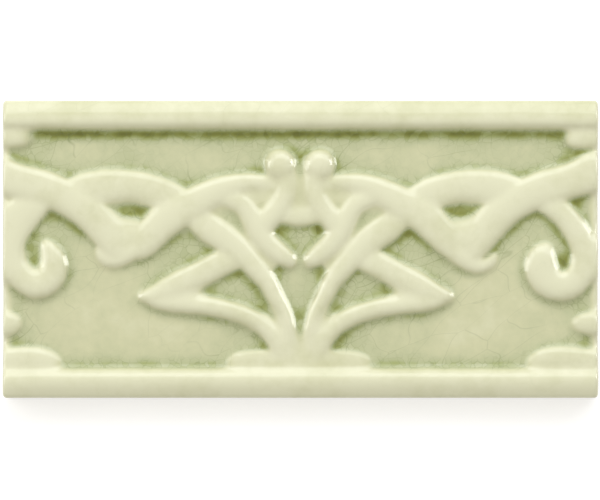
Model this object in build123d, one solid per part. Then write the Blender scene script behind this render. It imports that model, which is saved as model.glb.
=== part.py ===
"""Relief border tile for a wall: one pressed and fired slab of ceramic, lying on its back.

The face has a bead moulding along each long edge and, in the sunk field between them, a
traditional interlace of round-backed straps. +X runs along the tile, +Y to the upper bead
and +Z out of the face. The origin is the middle of the back. Sizes are in millimetres.
"""

from build123d import *
import os

# Tile blank
TILE_LENGTH = 152.0
TILE_WIDTH = 76.0
FIELD_THICKNESS = 8.0  # from the back to the sunk field
END_RADIUS = 1.2  # rounding of the raised face at the two ends
END_CLEARANCE = 0.2  # top of that rounding above the bead's crown

# Bead mouldings along the long edges
BEAD_HEIGHT = 2.8  # crown above the field, and radius of the inner side
BEAD_CROWN_INSET = 4.8  # crown line in from the tile's edge
BEAD_OUTER_DROP = 2.0  # fall from the crown to the tile's edge

# Strapwork
RELIEF_HEIGHT = 2.2  # a full strap above the field
STRAP_ROOT = 1.5  # how far a strap runs down into the slab
DRAWN_LENGTH = 152.0  # tile size that the strap stations below are drawn for
DRAWN_WIDTH = 76.0
LEFT_STRETCH = 1.055  # the left half of the pattern runs a little longer than the right

# Bulbs at the heads of the two necks
BULB_X = 4.9
BULB_Y = 21.5
BULB_DIAMETER = 8.4
BULB_RISE = 2.6  # top of a bulb above the field

# Keying grooves in the back
GROOVE_COUNT = 5
GROOVE_WIDTH = 6.0
GROOVE_DEPTH = 0.9
GROOVE_PITCH = 12.0
GROOVE_END_MARGIN = 9.0

# Half of a strap's section, from its root to its crown: share of the half width, share of the height
SHOULDER = [(1.02, 0.05), (1.08, 0.62), (1.02, 0.98), (0.64, 1.12)]

# The right half of the interlace, repeated on the left. Each strap is a run of stations along its middle:
# x and y from the tile's middle, width, rise as a share of RELIEF_HEIGHT.
STRAPS = {
    "entry": [
        (79.5, 18.8, 9.4, 1.00),
        (70.3, 18.0, 9.4, 1.02),
        (63.4, 15.9, 9.3, 1.05),
        (56.2, 12.8, 8.9, 1.05),
        (50.9, 8.9, 8.8, 1.00),
        (46.6, 4.2, 8.9, 0.93),
        (44.7, 0.0, 6.4, 0.82),
        (43.9, -3.0, 3.6, 0.55),
    ],
    "crest": [
        (4.8, 16.0, 3.0, 0.55),
        (9.7, 17.1, 4.2, 0.70),
        (14.3, 16.9, 5.2, 0.86),
        (19.4, 15.2, 6.8, 0.97),
        (24.5, 12.5, 8.2, 1.03),
        (29.9, 9.4, 9.0, 1.05),
        (34.6, 5.6, 8.8, 1.02),
        (38.0, 1.4, 7.2, 0.92),
        (40.4, -1.8, 3.4, 0.40),
    ],
    "arch": [
        (26.8, 10.8, 7.2, 0.66),
        (31.9, 13.4, 8.2, 0.78),
        (37.0, 15.1, 8.8, 0.84),
        (42.9, 15.9, 9.2, 0.86),
        (48.5, 15.9, 9.0, 0.84),
        (53.6, 14.9, 8.4, 0.78),
        (58.8, 12.9, 7.4, 0.70),
    ],
    "stem": [
        (29.6, 11.4, 5.4, 0.60),
        (24.6, 7.4, 6.9, 0.76),
        (19.3, 3.4, 7.4, 0.88),
        (14.6, -0.5, 6.4, 0.92),
        (11.1, -4.5, 5.7, 0.95),
        (7.9, -8.6, 5.0, 0.95),
        (5.4, -13.5, 4.4, 0.94),
        (3.4, -17.8, 3.9, 0.90),
        (2.7, -21.9, 3.8, 0.80),
        (2.5, -25.4, 4.0, 0.66),
        (2.5, -28.6, 4.4, 0.50),
    ],
    "branch": [
        (20.4, 14.1, 4.8, 0.80),
        (15.3, 12.2, 5.3, 0.90),
        (12.6, 9.4, 5.4, 0.94),
        (10.8, 5.8, 5.8, 0.97),
        (8.3, 2.0, 5.8, 0.98),
        (5.0, -1.1, 5.4, 0.95),
        (2.6, -2.9, 4.2, 0.82),
        (1.2, -3.9, 2.2, 0.45),
    ],
    "neck": [
        (4.5, 20.4, 6.0, 0.98),
        (3.5, 18.3, 5.2, 0.98),
        (3.4, 15.6, 5.0, 0.98),
        (4.8, 11.6, 5.5, 0.98),
        (7.3, 8.2, 6.0, 0.97),
        (9.5, 4.9, 5.2, 0.90),
    ],
    "wing_upper": [
        (13.6, -1.2, 5.6, 0.56),
        (17.6, -3.0, 6.4, 0.72),
        (22.0, -5.1, 6.9, 0.83),
        (27.2, -7.8, 6.9, 0.90),
        (32.7, -10.4, 5.9, 0.92),
        (36.2, -11.8, 4.4, 0.84),
        (38.5, -12.3, 2.6, 0.58),
        (39.4, -12.5, 1.0, 0.20),
    ],
    "wing_lower": [
        (38.0, -12.6, 1.6, 0.45),
        (34.8, -13.2, 4.0, 0.80),
        (30.7, -13.8, 4.8, 0.86),
        (25.5, -14.1, 5.0, 0.88),
        (20.4, -14.9, 5.0, 0.90),
        (15.3, -16.3, 5.0, 0.92),
        (11.2, -18.1, 5.0, 0.93),
        (7.9, -20.6, 5.1, 0.90),
        (5.7, -23.7, 5.1, 0.80),
        (4.6, -26.4, 5.1, 0.64),
        (4.2, -28.8, 5.1, 0.50),
    ],
    "wing_plate": [
        (24.8, -11.0, 1.4, 0.20),
        (28.4, -11.5, 4.4, 0.70),
        (32.0, -12.0, 4.4, 0.82),
        (35.4, -12.3, 2.4, 0.66),
    ],
    "valley": [
        (22.4, 12.6, 4.4, 0.46),
        (18.5, 9.0, 5.2, 0.32),
        (13.6, 3.2, 5.2, 0.30),
        (9.2, -1.7, 4.8, 0.36),
        (5.8, -4.6, 2.6, 0.34),
    ],
    "vee": [
        (41.9, 10.2, 6.4, 0.08),
        (41.8, 7.8, 6.2, 0.38),
        (41.7, 5.0, 5.8, 0.70),
        (41.9, 1.2, 4.8, 0.76),
        (42.2, -2.2, 2.6, 0.48),
    ],
    "pocket": [
        (4.6, 13.6, 5.4, 0.40),
        (8.6, 13.4, 6.6, 0.44),
        (12.2, 13.6, 5.6, 0.46),
        (15.4, 13.8, 4.0, 0.48),
    ],
}

# Straps whose back leans over: degrees by which the side away from the middle of the interlace is lifted
LEANS = {"arch": 11.0, "crest": 6.0}

# Straps that cross the middle or belong to one end, in the same stations.
SINGLE_STRAPS = {
    "right_scroll": [
        (60.0, 14.4, 5.7, 0.72),
        (64.4, 11.0, 6.2, 0.82),
        (68.2, 7.7, 6.5, 0.90),
        (71.3, 2.9, 6.7, 0.94),
        (72.6, -2.2, 7.0, 0.95),
        (71.2, -6.8, 7.2, 0.95),
        (67.8, -9.4, 7.4, 0.97),
        (63.8, -8.5, 8.2, 1.00),
        (61.6, -5.2, 8.6, 1.00),
        (61.8, -1.8, 7.2, 0.94),
        (62.4, 0.5, 4.4, 0.66),
        (62.6, 1.7, 1.4, 0.20),
    ],
    "left_scroll": [
        (-62.6, 14.0, 5.7, 0.72),
        (-67.6, 10.8, 7.0, 0.82),
        (-72.2, 7.4, 9.4, 0.86),
        (-74.0, 2.2, 7.6, 0.90),
        (-73.9, -2.6, 7.0, 0.94),
        (-71.4, -6.9, 7.0, 0.95),
        (-67.4, -9.0, 7.2, 0.97),
        (-63.9, -7.2, 7.2, 0.98),
        (-62.9, -3.6, 6.8, 0.95),
        (-64.0, -0.4, 4.8, 0.82),
        (-65.1, 1.6, 2.8, 0.52),
        (-65.5, 2.6, 1.0, 0.20),
    ],
    "right_hook": [
        (37.2, 2.6, 6.4, 0.86),
        (40.4, -1.2, 5.6, 0.80),
        (43.4, -3.6, 4.4, 0.68),
        (46.4, -4.3, 3.6, 0.58),
        (48.7, -3.0, 2.9, 0.50),
        (49.7, -0.8, 1.4, 0.22),
    ],
    "left_hook": [
        (-38.2, 3.4, 6.6, 0.86),
        (-42.0, 0.2, 5.8, 0.80),
        (-45.6, -2.0, 4.6, 0.70),
        (-48.7, -2.8, 3.8, 0.60),
        (-50.8, -1.5, 3.1, 0.52),
        (-51.7, 0.7, 1.4, 0.22),
    ],
    "bridge": [
        (-6.4, 9.4, 4.4, 0.72),
        (-3.2, 8.7, 5.2, 0.65),
        (-0.2, 8.5, 5.6, 0.62),
        (2.8, 8.7, 5.2, 0.65),
        (6.0, 9.4, 4.4, 0.72),
    ],
    "gap": [
        (-0.1, 20.4, 3.4, 0.14),
        (-0.2, 17.0, 4.2, 0.26),
        (-0.2, 13.4, 5.4, 0.40),
        (-0.2, 9.4, 6.0, 0.50),
    ],
    "foot": [
        (-19.6, -30.6, 1.6, 0.16),
        (-17.0, -29.5, 5.2, 0.44),
        (-12.6, -29.0, 6.6, 0.52),
        (0.0, -28.9, 6.9, 0.54),
        (12.0, -29.0, 6.6, 0.52),
        (16.2, -29.5, 5.2, 0.44),
        (18.6, -30.6, 1.6, 0.16),
    ],
    "right_bud": [
        (79.5, -19.0, 6.5, 0.80),
        (74.0, -19.0, 5.9, 0.74),
        (70.6, -19.0, 4.1, 0.52),
        (69.2, -19.0, 1.2, 0.16),
    ],
    "left_bud": [
        (-79.5, -19.2, 7.0, 0.80),
        (-74.6, -19.1, 6.2, 0.72),
        (-72.2, -19.0, 4.2, 0.52),
        (-71.0, -19.0, 1.2, 0.16),
    ],
    "right_upper_tab": [
        (79.5, 28.5, 6.2, 0.84),
        (72.0, 28.5, 6.0, 0.80),
        (68.6, 28.4, 4.6, 0.60),
        (67.0, 28.3, 1.4, 0.16),
    ],
    "left_upper_tab": [
        (-79.5, 28.9, 6.4, 0.84),
        (-73.0, 28.9, 6.2, 0.80),
        (-69.6, 28.9, 4.6, 0.60),
        (-67.8, 28.9, 1.4, 0.16),
    ],
    "right_lower_tab": [
        (79.5, -29.2, 5.6, 0.70),
        (74.0, -28.5, 6.2, 0.74),
        (69.0, -28.0, 6.4, 0.78),
        (63.5, -28.1, 6.2, 0.76),
        (59.6, -29.2, 4.6, 0.55),
        (57.4, -30.6, 1.4, 0.16),
    ],
    "left_lower_tab": [
        (-79.5, -28.3, 6.4, 0.76),
        (-72.0, -28.1, 6.4, 0.78),
        (-67.0, -28.2, 6.2, 0.76),
        (-63.0, -29.2, 4.6, 0.55),
        (-60.6, -30.6, 1.4, 0.16),
    ],
}


def drawn_point(x, y, side, stretch):
    """A point of the drawn half pattern, on the field of this tile."""
    across = side * stretch * x * TILE_LENGTH / DRAWN_LENGTH
    return Vector(across, y * TILE_WIDTH / DRAWN_WIDTH, FIELD_THICKNESS)


def strap_section(width, height):
    """Round-backed section of a strap with full shoulders; its root runs down into the slab."""
    half = width / 2
    rising = [(half, -STRAP_ROOT)]
    rising += [(reach * half, rise * height) for reach, rise in SHOULDER]
    falling = [(-x, y) for x, y in reversed(rising)]
    back = Bezier(*rising, (0, height), *falling)
    return make_face([back, Line(back @ 1, back @ 0)])


def strap(stations, side, stretch, lean=0.0):
    """One strap lofted through its stations, each square to a smooth line through them."""
    points = [drawn_point(x, y, side, stretch) for x, y, _, _ in stations]
    middle = Spline(*points)
    sections = []
    for point, (_, _, width, rise) in zip(points, stations):
        along = middle.tangent_at(middle.param_at_point(point))
        square_to_strap = Plane(point, x_dir=Vector(0, 0, 1).cross(along), z_dir=along)
        leaning = square_to_strap.rotated((0, 0, side * lean))
        sections.append(leaning * strap_section(width, rise * RELIEF_HEIGHT))
    return loft(sections)


def bulb(side, stretch):
    """The round head of a neck."""
    middle = drawn_point(BULB_X, BULB_Y, side, stretch)
    middle += Vector(0, 0, BULB_RISE - BULB_DIAMETER / 2)
    return Pos(middle) * Sphere(BULB_DIAMETER / 2)


def envelope():
    """All that the pressing mould leaves room for: square sides, rounded over at the two ends."""
    height = FIELD_THICKNESS + BEAD_HEIGHT + END_CLEARANCE
    room = Box(TILE_LENGTH, TILE_WIDTH, height, align=(Align.CENTER, Align.CENTER, Align.MIN))
    end_edges = room.edges().filter_by(Axis.Y).group_by(Axis.Z)[-1]
    return fillet(end_edges, END_RADIUS)


def keying_grooves():
    """Shallow grooves in the back, which the adhesive fills."""
    length = TILE_LENGTH - 2 * GROOVE_END_MARGIN
    slots = GridLocations(0, GROOVE_PITCH, 1, GROOVE_COUNT) * SlotOverall(length, GROOVE_WIDTH)
    return extrude(Sketch() + slots, amount=GROOVE_DEPTH)


def blank():
    """The slab with its two beads: one section, drawn out along the tile."""
    edge = TILE_WIDTH / 2
    crown = (edge - BEAD_CROWN_INSET, FIELD_THICKNESS + BEAD_HEIGHT)
    brow = (edge, FIELD_THICKNESS + BEAD_HEIGHT - BEAD_OUTER_DROP)
    foot = (edge - BEAD_CROWN_INSET - BEAD_HEIGHT, FIELD_THICKNESS)
    half = [
        Line((0, 0), (edge, 0)),
        Line((edge, 0), brow),
        TangentArc(crown, brow, tangent=(1, 0)),
        TangentArc(crown, foot, tangent=(-1, 0)),
        Line(foot, (0, FIELD_THICKNESS)),
    ]
    section = make_face(half + [mirror(line, about=Plane.YZ) for line in half])
    across = Plane(origin=(-TILE_LENGTH / 2, 0, 0), x_dir=(0, 1, 0), z_dir=(1, 0, 0))
    return extrude(across * section, amount=TILE_LENGTH)


def strapwork():
    """Every strap and bulb, right half and left half."""
    raised = [strap(stations, 1, 1.0) for stations in SINGLE_STRAPS.values()]
    for side, stretch in ((1, 1.0), (-1, LEFT_STRETCH)):
        raised += [strap(stations, side, stretch, LEANS.get(name, 0.0)) for name, stations in STRAPS.items()]
        raised.append(bulb(side, stretch))
    return raised


os.makedirs("parts", exist_ok=True)
tile = (blank() + strapwork()) & envelope()
tile -= keying_grooves()
export_step(tile, "parts/tile.step")
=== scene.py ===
"""Glazed relief border tile: the pressed slab of the CAD model under its coat of crackled celadon glaze."""

import math

import bpy
import numpy as np
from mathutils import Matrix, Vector
from mathutils.bvhtree import BVHTree


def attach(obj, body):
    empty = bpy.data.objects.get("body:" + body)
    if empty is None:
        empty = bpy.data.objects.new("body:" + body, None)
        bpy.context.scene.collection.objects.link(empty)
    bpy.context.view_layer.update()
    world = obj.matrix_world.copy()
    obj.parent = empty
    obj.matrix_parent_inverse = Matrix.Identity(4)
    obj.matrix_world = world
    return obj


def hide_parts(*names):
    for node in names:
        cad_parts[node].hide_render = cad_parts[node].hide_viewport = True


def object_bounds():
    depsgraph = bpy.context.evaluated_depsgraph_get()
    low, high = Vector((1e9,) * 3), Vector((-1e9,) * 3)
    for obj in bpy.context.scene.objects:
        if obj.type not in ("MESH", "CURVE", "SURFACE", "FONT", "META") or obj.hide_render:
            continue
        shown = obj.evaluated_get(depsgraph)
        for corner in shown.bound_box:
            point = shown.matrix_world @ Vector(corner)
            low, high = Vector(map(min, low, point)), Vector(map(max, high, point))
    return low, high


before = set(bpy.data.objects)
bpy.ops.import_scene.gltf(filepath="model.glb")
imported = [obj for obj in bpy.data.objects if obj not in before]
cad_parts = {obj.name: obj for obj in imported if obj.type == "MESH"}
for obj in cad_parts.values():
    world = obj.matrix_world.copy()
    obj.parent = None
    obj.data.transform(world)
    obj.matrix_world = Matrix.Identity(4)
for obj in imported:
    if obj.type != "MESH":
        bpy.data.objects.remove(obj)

MM = 0.001
CAD_LOW, CAD_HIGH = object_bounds()

# Picture frame: 600 by 500 pixels, looked straight down on, with the tile 595 pixels long
PICTURE_WIDTH = 600
MM_PER_PIXEL = 152.0 / 595.0
PICTURE_CENTRE = (-0.13, -0.19)
LENS = 350.0
SENSOR = 36.0
FACE_LEVEL = 8.8

# Tile, in millimetres
HALF_LENGTH = 1000 * (CAD_HIGH[0] - CAD_LOW[0]) / 2
HALF_WIDTH = 1000 * (CAD_HIGH[1] - CAD_LOW[1]) / 2
FIELD_LEVEL = 8.0

# Glazed surface, in millimetres
RIM = 1.0  # rounding of the glazed face over the four edges
RIM_STEPS = 5
CELLS_LONG = 318
CELLS_WIDE = 196
SIDE_RINGS = 8
BACK_ARRIS = 0.45
BACK_EVERY = 2  # the back has every second line of the face
FINE = 0.14  # step of the height map
END_MARGIN = 1.35  # the height map keeps this far inside the ends, where the clay is rounded
EDGE_MARGIN = 0.30
RAY_ABOVE = 30.0  # levels from which the solid is measured
RAY_BELOW = -5.0

# Heads of the two necks, filled out by the glaze: x and y, with one radius, rise and fullness
BULBS = [(4.9, 21.5), (-5.17, 21.5)]
BULB_RADIUS = 4.1
BULB_RISE = 2.6
BULB_FULLNESS = 1.4

# Low points where two straps meet in a vee: x, y, reach, depth
DIMPLES = [(41.3, 10.0, 2.8, 0.6), (-43.6, 10.6, 2.8, 0.6)]

# Inner side of the upper bead, fuller than the lower one's: crown line and foot in from the tile's
# edge, height
FULL_BEAD = (4.8, 7.4, 2.75)
BEAD_FULLNESS = 3

# Hollows that came out soft in the pressing: x, y, reach, softening
SOFT_SPOTS = [
    (41.8, 10.0, 4.6, 1.10),
    (-44.1, 10.4, 4.6, 1.10),
    (-0.1, 18.5, 5.0, 1.20),
    (-0.1, -24.5, 4.0, 1.20),
    (25.6, -11.3, 3.2, 1.00),
    (-27.0, -11.3, 3.2, 1.00),
    (6.5, -17.6, 3.2, 1.00),
    (-6.9, -17.6, 3.2, 1.00),
    (-69.5, -3.0, 4.0, 0.80),
]

# How the glaze flows: softening of the clay's edges, then coats that fill hollows and thin the ridges
CLAY_SOFTENING = 0.42
COATS = 2
COAT_REACH = 0.80
HOLLOW_FILL = 0.60
RIDGE_LOSS = 0.28
WAVES = [(0.040, 6.0, 3), (0.010, 2.0, 4)]  # height, width, seed

# How deep the glaze lies, from 0 to 1, with painted shade added along the upper bead. Lengths are in
# millimetres
LOW_LYING = (0.10, 1.60)  # the pools end between these rises above the field
CORNER_WIDTH = 2.4
CORNER_GAIN = 1.7
CORNER_POOL = 0.68  # most that a corner of the relief adds
GROUND_WIDTH = 7.0
GROUND_GAIN = 0.20
FIELD_COAT = 0.07
UNEVEN = [(0.42, 2.2, 5), (0.26, 0.8, 6)]  # strength, width, seed
UNEVEN_RANGE = (0.2, 2.2)
BEAD_CLEARANCE = (8.6, 12.5)  # in from the edge, where corner pools take over from the beads' pools
THIN_EDGE = (0.3, 3.2)  # in from the edge, where the coat grows to its full depth
DEPTH_SOFTENING = 0.35
SIDE_COAT = 0.15  # the coat low on the sides

# Glaze pooled along the inner foot of each bead, with painted shadow added under the upper bead, where its
# pool is deeper: middle of the pool in from the tile's edge, reach, depth
UPPER_POOL_AND_SHADE = (8.2, 1.7, 0.70)
LOWER_POOL = (7.8, 1.7, 0.38)
POOL_EVEN = 0.65  # the steady and the uneven share of these pools
POOL_UNEVEN = 0.35
UPPER_SIDE_SHADE = 0.08  # painted shade: the upper bead's outer side, which faces the key lamp, gets this much more depth
UPPER_SIDE_SHADE_BAND = (5.5, 2.5)  # in from the edge, where that painted shade begins and is full

# Glaze colour by its depth: cream on the ridges, sage in the field, olive where it pools and where painted
# shade is added along the upper bead
GLAZE_STOPS = [
    (0.00, (0.800, 0.800, 0.570)),
    (0.15, (0.675, 0.678, 0.430)),
    (0.28, (0.565, 0.590, 0.358)),
    (0.45, (0.490, 0.525, 0.295)),
    (0.62, (0.380, 0.425, 0.170)),
    (0.85, (0.250, 0.275, 0.060)),
    (1.00, (0.170, 0.185, 0.035)),
]
CLOUD = (90.0, 4.0)  # noise scale and detail
CLOUD_MIDDLE = 0.46
CLOUD_SHIFT = 0.34
MOTTLE = (420.0, 3.0)
MOTTLE_MIDDLE = 0.50
MOTTLE_SHIFT = 0.12
DEEP = (0.16, 0.50)  # depths between which the glaze begins to count as deep
LOW_GROUND = (0.03, 0.14)

# Crackle: cells a metre, line width as a share of a cell, scale and share of the bending
COARSE_CRAZE = (170.0, 0.015, 60.0, 0.012)
FINE_CRAZE = (520.0, 0.060, 300.0, 0.0016)
COARSE_SLANT = 0.6  # radians
COARSE_STRETCH = 2.4
COARSE_DEEP = 0.26  # strength of the coarse lines in deep glaze, on low ground and everywhere
COARSE_LOW = 0.12
COARSE_ALL = 0.02
FINE_DEEP = 0.36
FLAKE_SHIFT = 0.16  # how far the depth differs from one small flake to the next
PATCHES = (55.0, 1.0)
PATCH_EDGE = (0.36, 0.62)
PATCH_LEAST = 0.30
CRAZE_COLOUR = (0.20, 0.24, 0.09, 1.0)

# Bare clay on the back and low on the sides
BARE_NOISE = (130.0, 4.0)
BARE_SPREAD = 2.4  # height of the uneven edge, and its lowest level from the field
BARE_LEVEL = -7.6
BARE_EDGE = (0.35, -0.15)
CLAY_GRAIN = (900.0, 5.0)
CLAY_DARK = (0.72, 0.66, 0.55, 1.0)
CLAY_PALE = (0.82, 0.77, 0.67, 1.0)

# Surface finish
GLAZE_ROUGHNESS = (0.06, 0.16)
CLAY_ROUGHNESS = 0.85
LINE_SINK = -0.5
MOTTLE_HEIGHT = 0.5
BUMP_STRENGTH = 0.12
BUMP_DISTANCE = 0.0002

# Studio, in metres and watts
FLOOR_HALF = 4.0
FLOOR_COLOUR = (0.80, 0.80, 0.80, 1.0)
FLOOR_GLOW = 0.48
SKY_COLOUR = (1.0, 0.965, 0.915, 1)
SKY_STRENGTH = 0.58
WHITE = (1.0, 1.0, 1.0, 1)
LAMP_AIM = (0, 0, 0.01)
CAMERA_CLIP = 0.01


def blur(field, sigma):
    """Gaussian blur of a fine-grid field; sigma is in millimetres."""
    steps = sigma / FINE
    reach = int(3 * steps) + 1
    taps = np.exp(-0.5 * (np.arange(-reach, reach + 1) / steps) ** 2)
    taps /= taps.sum()
    for axis in (0, 1):
        width = [(0, 0), (0, 0)]
        width[axis] = (reach, reach)
        padded = np.pad(field, width, mode="edge")
        count = field.shape[axis]
        total = np.zeros_like(field)
        for k, tap in enumerate(taps):
            part = padded[k:k + count] if axis == 0 else padded[:, k:k + count]
            total += tap * part
        field = total
    return field


def hills(shape, width, seed):
    """A smooth field of random hills about `width` millimetres wide, with a spread of 1."""
    field = blur(np.random.default_rng(seed).standard_normal(shape), width)
    return field / field.std()


def cast_levels(tree, xs, ys, upward):
    """Level of the CAD solid's surface over a grid, looking down on the face or up at the back."""
    start = RAY_BELOW if upward else RAY_ABOVE
    way = Vector((0, 0, 1 if upward else -1))
    levels = np.zeros((len(ys), len(xs)))
    for j, y in enumerate(ys):
        for i, x in enumerate(xs):
            hit = tree.ray_cast(Vector((x * MM, y * MM, start * MM)), way)[0]
            levels[j, i] = hit.z / MM if hit else 0.0
    return levels


def sample(field, x, y):
    """Fine-grid field read at points in millimetres, between its grid points."""
    u = np.clip((x + HALF_LENGTH) / STEP_X, 0, field.shape[1] - 1.001)
    v = np.clip((y + HALF_WIDTH) / STEP_Y, 0, field.shape[0] - 1.001)
    i, j = u.astype(int), v.astype(int)
    a, b = u - i, v - j
    low = field[j, i] * (1 - a) + field[j, i + 1] * a
    high = field[j + 1, i] * (1 - a) + field[j + 1, i + 1] * a
    return low * (1 - b) + high * b


def smoothstep(low, high, value):
    """0 below low, 1 above high, and a smooth rise between."""
    t = np.clip((value - low) / (high - low), 0, 1)
    return t * t * (3 - 2 * t)


def squared_away(x, y, reach):
    """Squared distance of every fine-grid point from a place, as a share of the squared reach."""
    return ((fine_x - x)[None, :] ** 2 + (fine_y - y)[:, None] ** 2) / reach ** 2


cad_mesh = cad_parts["tile"].data
cad_tree = BVHTree.FromPolygons(
    [v.co for v in cad_mesh.vertices],
    [p.vertices[:] for p in cad_mesh.polygons])

fine_x = np.linspace(-HALF_LENGTH, HALF_LENGTH, int(round(2 * HALF_LENGTH / FINE)) + 1)
fine_y = np.linspace(-HALF_WIDTH, HALF_WIDTH, int(round(2 * HALF_WIDTH / FINE)) + 1)
STEP_X = fine_x[1] - fine_x[0]
STEP_Y = fine_y[1] - fine_y[0]
inner_x = np.clip(fine_x, END_MARGIN - HALF_LENGTH, HALF_LENGTH - END_MARGIN)
inner_y = np.clip(fine_y, EDGE_MARGIN - HALF_WIDTH, HALF_WIDTH - EDGE_MARGIN)
clay = cast_levels(cad_tree, inner_x, inner_y, upward=False)
for spot_x, spot_y, reach, softening in SOFT_SPOTS:
    away = squared_away(spot_x, spot_y, reach)
    clay += np.exp(-away * away) * (blur(clay, softening) - clay)
for dimple_x, dimple_y, reach, sunk in DIMPLES:
    away = squared_away(dimple_x, dimple_y, reach)
    clay = np.maximum(clay - sunk * np.exp(-away), FIELD_LEVEL)
for bulb_x, bulb_y in BULBS:
    away = squared_away(bulb_x, bulb_y, BULB_RADIUS)
    bulb = BULB_RISE * np.sqrt(np.maximum(1 - away ** BULB_FULLNESS, 0))
    clay = np.maximum(clay, FIELD_LEVEL + bulb)
crown, foot, bead_height = FULL_BEAD
inward = np.clip((HALF_WIDTH - fine_y - crown) / (foot - crown), 0, 1)
full_side = np.where(inward > 0, bead_height * np.sqrt(1 - inward ** BEAD_FULLNESS), 0)
clay = np.maximum(clay, FIELD_LEVEL + full_side[:, None])

# The glaze runs off the ridges and fills the corners at the foot of each strap
glazed = blur(clay, CLAY_SOFTENING)
for _ in range(COATS):
    around = blur(glazed, COAT_REACH)
    glazed += HOLLOW_FILL * np.maximum(around - glazed, 0) + RIDGE_LOSS * np.minimum(around - glazed, 0)
glazed += sum(wave * hills(glazed.shape, width, seed) for wave, width, seed in WAVES)

# Depth of the glaze: a thin skin on the ridges and the tile's edges, pooled at the foot of the relief
# and in the narrow grounds, with painted shade added along the upper bead
rise = glazed - FIELD_LEVEL
low_lying = 1 - smoothstep(*LOW_LYING, rise)
corner = np.maximum(blur(clay, CORNER_WIDTH) - clay, 0)
ground = np.maximum(blur(clay, GROUND_WIDTH) - clay, 0)
uneven = 1 + sum(strength * hills(clay.shape, width, seed) for strength, width, seed in UNEVEN)
uneven = np.clip(uneven, *UNEVEN_RANGE)
from_edge = np.minimum((HALF_LENGTH - np.abs(fine_x))[None, :], (HALF_WIDTH - np.abs(fine_y))[:, None])
# Bead pools: the lower one is pooled glaze; the upper one is pooled glaze plus a painted shadow cast by the
# upper bead
bead_pool_and_shade = np.zeros_like(fine_y)
for side, (inset, reach, most) in ((1, UPPER_POOL_AND_SHADE), (-1, LOWER_POOL)):
    bead_pool_and_shade += most * np.exp(-((HALF_WIDTH - side * fine_y - inset) / reach) ** 2)
clear_of_bead = smoothstep(*BEAD_CLEARANCE, HALF_WIDTH - np.abs(fine_y))
pooled = CORNER_GAIN * uneven * corner ** 3 * clear_of_bead[:, None]
pooled = CORNER_POOL * (1 - np.exp(-pooled / CORNER_POOL))
# Where the beads' pools are deeper they take over, the upper one with its painted shadow
pooled = np.maximum(pooled, (POOL_EVEN + POOL_UNEVEN * uneven) * bead_pool_and_shade[:, None])
depth = FIELD_COAT + GROUND_GAIN * ground + pooled
depth = blur(depth * low_lying, DEPTH_SOFTENING) * smoothstep(*THIN_EDGE, from_edge)
# Painted shade: the upper bead's outer side, which faces the key lamp, is made darker
shade_begins, shade_full = UPPER_SIDE_SHADE_BAND
depth += UPPER_SIDE_SHADE * smoothstep(HALF_WIDTH - shade_begins, HALF_WIDTH - shade_full, fine_y)[:, None]


def line_places(half, cells):
    """Grid lines across the tile: even on the face, closing up round the rim."""
    even = np.linspace(-(half - RIM), half - RIM, cells + 1)
    turned = np.sin(np.linspace(0, math.pi / 2, RIM_STEPS + 1)[1:])
    beyond = half - RIM + RIM * turned
    return np.concatenate([-beyond[::-1], even, beyond])


lines_x = line_places(HALF_LENGTH, CELLS_LONG)
lines_y = line_places(HALF_WIDTH, CELLS_WIDE)
count_x, count_y = len(lines_x), len(lines_y)
grid_x, grid_y = np.meshgrid(lines_x, lines_y)
past_x = np.maximum(np.abs(grid_x) - (HALF_LENGTH - RIM), 0)
past_y = np.maximum(np.abs(grid_y) - (HALF_WIDTH - RIM), 0)
past = np.maximum(past_x, past_y)
length_past = np.maximum(np.hypot(past_x, past_y), 1e-9)
pull = np.where((past_x > 0) & (past_y > 0), past / length_past, 1.0)
face_x = np.sign(grid_x) * (np.abs(grid_x) - past_x + past_x * pull)
face_y = np.sign(grid_y) * (np.abs(grid_y) - past_y + past_y * pull)
drop = RIM - np.sqrt(np.maximum(RIM * RIM - past * past, 0))
face_z = sample(glazed, face_x, face_y) - drop

verts = [np.stack([face_x, face_y, face_z], -1).reshape(-1, 3)]
depth_of = [sample(depth, face_x, face_y).reshape(-1)]
rise_of = [sample(rise, face_x, face_y).reshape(-1) - drop.reshape(-1)]
faces = []
number = np.arange(count_x * count_y).reshape(count_y, count_x)
for j in range(count_y - 1):
    for i in range(count_x - 1):
        faces.append((number[j, i], number[j, i + 1], number[j + 1, i + 1], number[j + 1, i]))


def add_points(points, depth_here, rise_here):
    """Adds points with their glaze depth and rise, and returns the number of the first."""
    first = sum(len(part) for part in verts)
    verts.append(points)
    depth_of.append(depth_here)
    rise_of.append(rise_here)
    return first


def add_ring(above, points, depth_here, rise_here):
    """Joins a ring of points under the ring above it, and returns the new ring's numbers."""
    fresh = add_points(points, depth_here, rise_here) + np.arange(len(points))
    for k in range(len(points)):
        m = (k + 1) % len(points)
        faces.append((above[m], above[k], fresh[k], fresh[m]))
    return fresh


# Sides: rings from the rim down to the arris of the back
around_ij = [(0, i) for i in range(count_x - 1)]
around_ij += [(j, count_x - 1) for j in range(count_y - 1)]
around_ij += [(count_y - 1, i) for i in range(count_x - 1, 0, -1)]
around_ij += [(j, 0) for j in range(count_y - 1, 0, -1)]
rim_ring = np.array([number[j, i] for j, i in around_ij])
rim_points = verts[0][rim_ring]
rim_depth = depth_of[0][rim_ring]
ring = rim_ring
for step in range(1, SIDE_RINGS + 1):
    share = step / SIDE_RINGS
    points = rim_points.copy()
    points[:, 2] = rim_points[:, 2] * (1 - share) + BACK_ARRIS * share
    side_depth = rim_depth * (1 - share) + SIDE_COAT * share ** 0.5
    ring = add_ring(ring, points, side_depth, points[:, 2] - FIELD_LEVEL)
base = rim_points.copy()
base[:, 0] *= (HALF_LENGTH - BACK_ARRIS) / HALF_LENGTH
base[:, 1] *= (HALF_WIDTH - BACK_ARRIS) / HALF_WIDTH
base[:, 2] = 0.0
ring = add_ring(ring, base, np.zeros(len(base)), np.full(len(base), -FIELD_LEVEL))
base_number = {ij: ring[k] for k, ij in enumerate(around_ij)}

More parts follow.
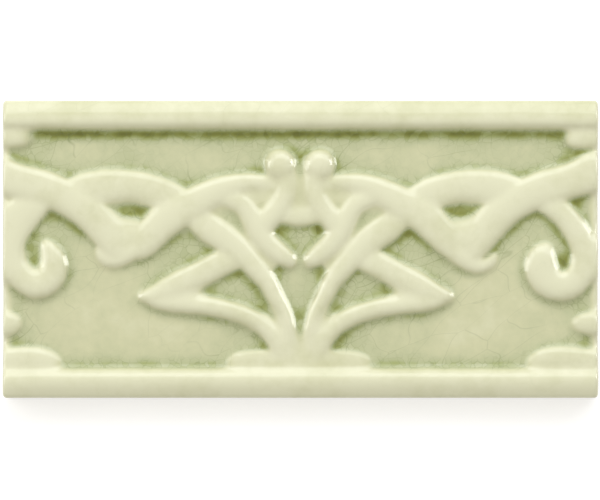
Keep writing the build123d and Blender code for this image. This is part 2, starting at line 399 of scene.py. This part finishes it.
# Back, with the keying grooves
back_i = sorted(set(range(0, count_x, BACK_EVERY)) | {count_x - 1})
back_j = sorted(set(range(0, count_y, BACK_EVERY)) | {count_y - 1})
back_x = lines_x[back_i] * (HALF_LENGTH - BACK_ARRIS) / HALF_LENGTH
back_y = lines_y[back_j] * (HALF_WIDTH - BACK_ARRIS) / HALF_WIDTH
groove = cast_levels(cad_tree, back_x, back_y, upward=True)
inside = [(b, a) for b, j in enumerate(back_j) for a, i in enumerate(back_i) if (j, i) not in base_number]
back_points = np.array([(back_x[a], back_y[b], groove[b, a]) for b, a in inside])
first_inside = add_points(back_points, np.zeros(len(inside)), np.full(len(inside), -FIELD_LEVEL))
back_number = {(back_j[b], back_i[a]): first_inside + k for k, (b, a) in enumerate(inside)}
back_number.update(base_number)


def run(j0, i0, j1, i1):
    """Back corner to back corner, with every ring point between them where they lie on the edge."""
    if (j0, i0) in base_number and (j1, i1) in base_number:
        if j0 == j1 and j0 in (0, count_y - 1):
            way = 1 if i1 > i0 else -1
            return [base_number[j0, i] for i in range(i0, i1, way)]
        if i0 == i1 and i0 in (0, count_x - 1):
            way = 1 if j1 > j0 else -1
            return [base_number[j, i0] for j in range(j0, j1, way)]
    return [back_number[j0, i0]]


for j0, j1 in zip(back_j, back_j[1:]):
    for i0, i1 in zip(back_i, back_i[1:]):
        loop = run(j0, i0, j1, i0) + run(j1, i0, j1, i1) + run(j1, i1, j0, i1) + run(j0, i1, j0, i0)
        faces.append(tuple(loop))

mesh = bpy.data.meshes.new("tile_glazed")
mesh.from_pydata((np.concatenate(verts) * MM).tolist(), [], [tuple(int(n) for n in f) for f in faces])
mesh.validate()
mesh.update()
tile = bpy.data.objects.new("tile_glazed", mesh)
bpy.context.scene.collection.objects.link(tile)
mesh.polygons.foreach_set("use_smooth", np.ones(len(mesh.polygons), bool))


def give(name, values):
    """Stores one number for each point of the mesh, for the material to read."""
    layer = mesh.attributes.new(name, "FLOAT", "POINT")
    layer.data.foreach_set("value", np.ascontiguousarray(values, np.float32))


# The depth also carries painted shade: a shadow under the upper bead and a darker outer side of that bead
give("depth", np.concatenate(depth_of))
give("rise", np.concatenate(rise_of))


class Nodes:
    """Short calls for building one material's nodes."""

    def __init__(self, name):
        self.material = bpy.data.materials.new(name)
        self.material.use_nodes = True
        self.tree = self.material.node_tree
        self.tree.nodes.clear()

    def add(self, kind, values=None, **settings):
        """A node with its settings, and its inputs set to numbers or linked to sockets."""
        node = self.tree.nodes.new(kind)
        for key, value in settings.items():
            setattr(node, key, value)
        for key, value in (values or {}).items():
            if isinstance(value, bpy.types.NodeSocket):
                self.tree.links.new(value, node.inputs[key])
            else:
                node.inputs[key].default_value = value
        return node

    def maths(self, operation, first, second=0.0, third=0.0, clamp=False):
        inputs = {0: first, 1: second, 2: third}
        return self.add("ShaderNodeMath", inputs, operation=operation, use_clamp=clamp).outputs[0]

    def mix(self, share, first, second):
        """First colour at share 0, second at 1."""
        inputs = {"Factor": share, 6: first, 7: second}
        return self.add("ShaderNodeMix", inputs, data_type="RGBA").outputs[2]

    def blend(self, share, first, second):
        """First number at share 0, second at 1."""
        return self.add("ShaderNodeMix", {"Factor": share, 2: first, 3: second}, data_type="FLOAT").outputs[0]

    def steps(self, value, low, high):
        """0 at low, 1 at high, and a smooth rise between."""
        inputs = {"Value": value, "From Min": low, "From Max": high}
        return self.add("ShaderNodeMapRange", inputs, interpolation_type="SMOOTHSTEP").outputs[0]

    def noise(self, place, scale, detail, output="Fac"):
        node = self.add("ShaderNodeTexNoise", {"Vector": place, "Scale": scale, "Detail": detail})
        return node.outputs[output]

    def craze(self, place, scale, width, bend_scale, bend):
        """Thin lines between the cells of a crackle, and a chance value for each cell.

        The width is a share of a cell.
        """
        shift = self.noise(place, bend_scale, 2.0, "Color")
        bent = self.add("ShaderNodeMix", {"Factor": bend, 4: place, 5: shift}, data_type="VECTOR").outputs[1]
        cells = self.add("ShaderNodeTexVoronoi", {"Vector": bent, "Scale": scale}, feature="DISTANCE_TO_EDGE")
        chance = self.add("ShaderNodeTexVoronoi", {"Vector": bent, "Scale": scale}).outputs["Color"]
        shade = self.add("ShaderNodeSeparateColor", {"Color": chance}).outputs["Red"]
        return self.steps(cells.outputs["Distance"], width, 0.0), shade


def glaze_material():
    """Crackled glaze coloured by its depth, with painted shade along the upper bead, ending in bare clay low
    on the sides.
    """
    n = Nodes("celadon_glaze")
    place = n.add("ShaderNodeTexCoord").outputs["Object"]
    depth_in = n.add("ShaderNodeAttribute", attribute_name="depth").outputs["Fac"]
    rise_in = n.add("ShaderNodeAttribute", attribute_name="rise").outputs["Fac"]

    cloud = n.noise(place, *CLOUD)
    mottle = n.noise(place, *MOTTLE)
    depth = n.maths("MULTIPLY_ADD", n.maths("SUBTRACT", cloud, CLOUD_MIDDLE), CLOUD_SHIFT, depth_in)
    mottled = n.maths("SUBTRACT", mottle, MOTTLE_MIDDLE)
    depth = n.maths("MULTIPLY_ADD", mottled, MOTTLE_SHIFT, depth, clamp=True)
    deep = n.steps(depth, *DEEP)
    low_ground = n.steps(depth_in, *LOW_GROUND)

    # Crackle: wide slanting cells all over, and small flakes where the glaze is deep
    slant = {"Vector": place, "Rotation": (0, 0, COARSE_SLANT), "Scale": (COARSE_STRETCH, 1.0, 1.0)}
    slanting = n.add("ShaderNodeMapping", slant, vector_type="TEXTURE")
    coarse, _ = n.craze(slanting.outputs[0], *COARSE_CRAZE)
    fine, flake = n.craze(place, *FINE_CRAZE)
    flake_shift = n.maths("MULTIPLY", deep, FLAKE_SHIFT)
    flaked = n.maths("MULTIPLY", n.maths("SUBTRACT", flake, 0.5), flake_shift)
    depth = n.maths("ADD", depth, flaked, clamp=True)

    ramp = n.add("ShaderNodeValToRGB", {"Fac": depth})
    elements = ramp.color_ramp.elements
    while len(elements) < len(GLAZE_STOPS):
        elements.new(0.5)
    for element, (at, colour) in zip(elements, GLAZE_STOPS):
        element.position = at
        element.color = (*colour, 1.0)
    colour = ramp.outputs["Color"]

    # Craze lines, stronger in some patches than in others
    patchy = n.steps(n.noise(place, *PATCHES), *PATCH_EDGE)
    strength = n.maths("MULTIPLY_ADD", low_ground, COARSE_LOW, COARSE_ALL)
    strength = n.maths("MULTIPLY_ADD", deep, COARSE_DEEP, strength)
    lines = n.maths("MULTIPLY", coarse, strength)
    lines = n.maths("MULTIPLY", lines, n.maths("ADD", patchy, PATCH_LEAST))
    small = n.maths("MULTIPLY", fine, n.maths("MULTIPLY", deep, FINE_DEEP))
    lines = n.maths("MAXIMUM", lines, small)
    colour = n.mix(lines, colour, CRAZE_COLOUR)

    # Bare clay, with an uneven edge
    ragged = n.noise(place, *BARE_NOISE)
    line_level = n.maths("MULTIPLY_ADD", ragged, BARE_SPREAD, BARE_LEVEL)
    bare = n.steps(n.maths("SUBTRACT", rise_in, line_level), *BARE_EDGE)
    grain = n.noise(place, *CLAY_GRAIN)
    colour = n.mix(bare, colour, n.mix(grain, CLAY_DARK, CLAY_PALE))

    rough = n.blend(bare, n.blend(mottle, *GLAZE_ROUGHNESS), CLAY_ROUGHNESS)
    wave = n.maths("MULTIPLY_ADD", lines, LINE_SINK, n.maths("MULTIPLY", mottle, MOTTLE_HEIGHT))
    relief = n.blend(bare, wave, grain)
    bump = n.add("ShaderNodeBump", {"Strength": BUMP_STRENGTH, "Distance": BUMP_DISTANCE, "Height": relief})
    shader = n.add("ShaderNodeBsdfPrincipled",
                   {"Base Color": colour, "Roughness": rough, "Normal": bump.outputs["Normal"]})
    n.add("ShaderNodeOutputMaterial", {"Surface": shader.outputs["BSDF"]})
    return n.material


mesh.materials.append(glaze_material())
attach(tile, "root")
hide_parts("tile")


def floor_material():
    """White floor that still takes the tile's shadow."""
    n = Nodes("studio_floor")
    path = n.add("ShaderNodeLightPath")
    seen = n.maths("MAXIMUM", path.outputs["Is Camera Ray"], path.outputs["Is Glossy Ray"])
    lit = n.add("ShaderNodeBsdfDiffuse", {"Color": FLOOR_COLOUR})
    glow = n.add("ShaderNodeEmission", {"Color": WHITE, "Strength": n.maths("MULTIPLY", seen, FLOOR_GLOW)})
    both = n.add("ShaderNodeAddShader", {0: lit.outputs[0], 1: glow.outputs[0]})
    n.add("ShaderNodeOutputMaterial", {"Surface": both.outputs[0]})
    return n.material


floor_mesh = bpy.data.meshes.new("floor")
floor_mesh.from_pydata(
    [(x * FLOOR_HALF, y * FLOOR_HALF, 0) for x, y in ((-1, -1), (1, -1), (1, 1), (-1, 1))],
    [], [(0, 1, 2, 3)])
floor = bpy.data.objects.new("floor", floor_mesh)
bpy.context.scene.collection.objects.link(floor)
floor_mesh.materials.append(floor_material())


def area_light(name, place, size, power, colour=(1.0, 1.0, 1.0), gloss_only=False):
    """Rectangular lamp turned to the tile; one that is for gloss only gives no diffuse light."""
    lamp = bpy.data.lights.new(name, "AREA")
    lamp.shape = "RECTANGLE"
    lamp.size, lamp.size_y = size
    lamp.energy = power
    lamp.color = colour
    holder = bpy.data.objects.new(name, lamp)
    holder.location = place
    holder.rotation_euler = (Vector(LAMP_AIM) - Vector(place)).to_track_quat("-Z", "Y").to_euler()
    holder.visible_diffuse = not gloss_only
    bpy.context.scene.collection.objects.link(holder)


area_light("key_above", (0.18, 0.75, 0.62), (1.5, 0.7), 6.6, colour=(0.97, 1.0, 1.05))
area_light("lamp_right", (0.60, 0.19, 0.20), (0.30, 0.24), 1.8, gloss_only=True)
area_light("glow_left", (-0.70, 0.10, 0.24), (0.40, 0.30), 1.5, gloss_only=True)
area_light("panel_left", (-0.90, 0.40, 0.72), (0.75, 0.75), 3.2)

# Sky: a soft warm light on the tile, and white to the camera
world = bpy.data.worlds.new("studio")
bpy.context.scene.world = world
world.use_nodes = True
world_tree = world.node_tree
world_tree.nodes.clear()
lit_sky = world_tree.nodes.new("ShaderNodeBackground")
lit_sky.inputs["Color"].default_value = SKY_COLOUR
lit_sky.inputs["Strength"].default_value = SKY_STRENGTH
white_sky = world_tree.nodes.new("ShaderNodeBackground")
white_sky.inputs["Color"].default_value = WHITE
sky_path = world_tree.nodes.new("ShaderNodeLightPath")
sky_choice = world_tree.nodes.new("ShaderNodeMixShader")
sky_out = world_tree.nodes.new("ShaderNodeOutputWorld")
world_tree.links.new(sky_path.outputs["Is Camera Ray"], sky_choice.inputs[0])
world_tree.links.new(lit_sky.outputs[0], sky_choice.inputs[1])
world_tree.links.new(white_sky.outputs[0], sky_choice.inputs[2])
world_tree.links.new(sky_choice.outputs[0], sky_out.inputs["Surface"])

camera_data = bpy.data.cameras.new("camera")
camera_data.lens = LENS
camera_data.sensor_width = SENSOR
camera_data.clip_start = CAMERA_CLIP
camera = bpy.data.objects.new("camera", camera_data)
view_width = PICTURE_WIDTH * MM_PER_PIXEL
camera_height = FACE_LEVEL + view_width * LENS / SENSOR
camera.location = (PICTURE_CENTRE[0] * MM, PICTURE_CENTRE[1] * MM, camera_height * MM)
camera.rotation_euler = (0, 0, 0)
bpy.context.scene.collection.objects.link(camera)
bpy.context.scene.camera = camera

bpy.context.scene.view_settings.view_transform = "Standard"
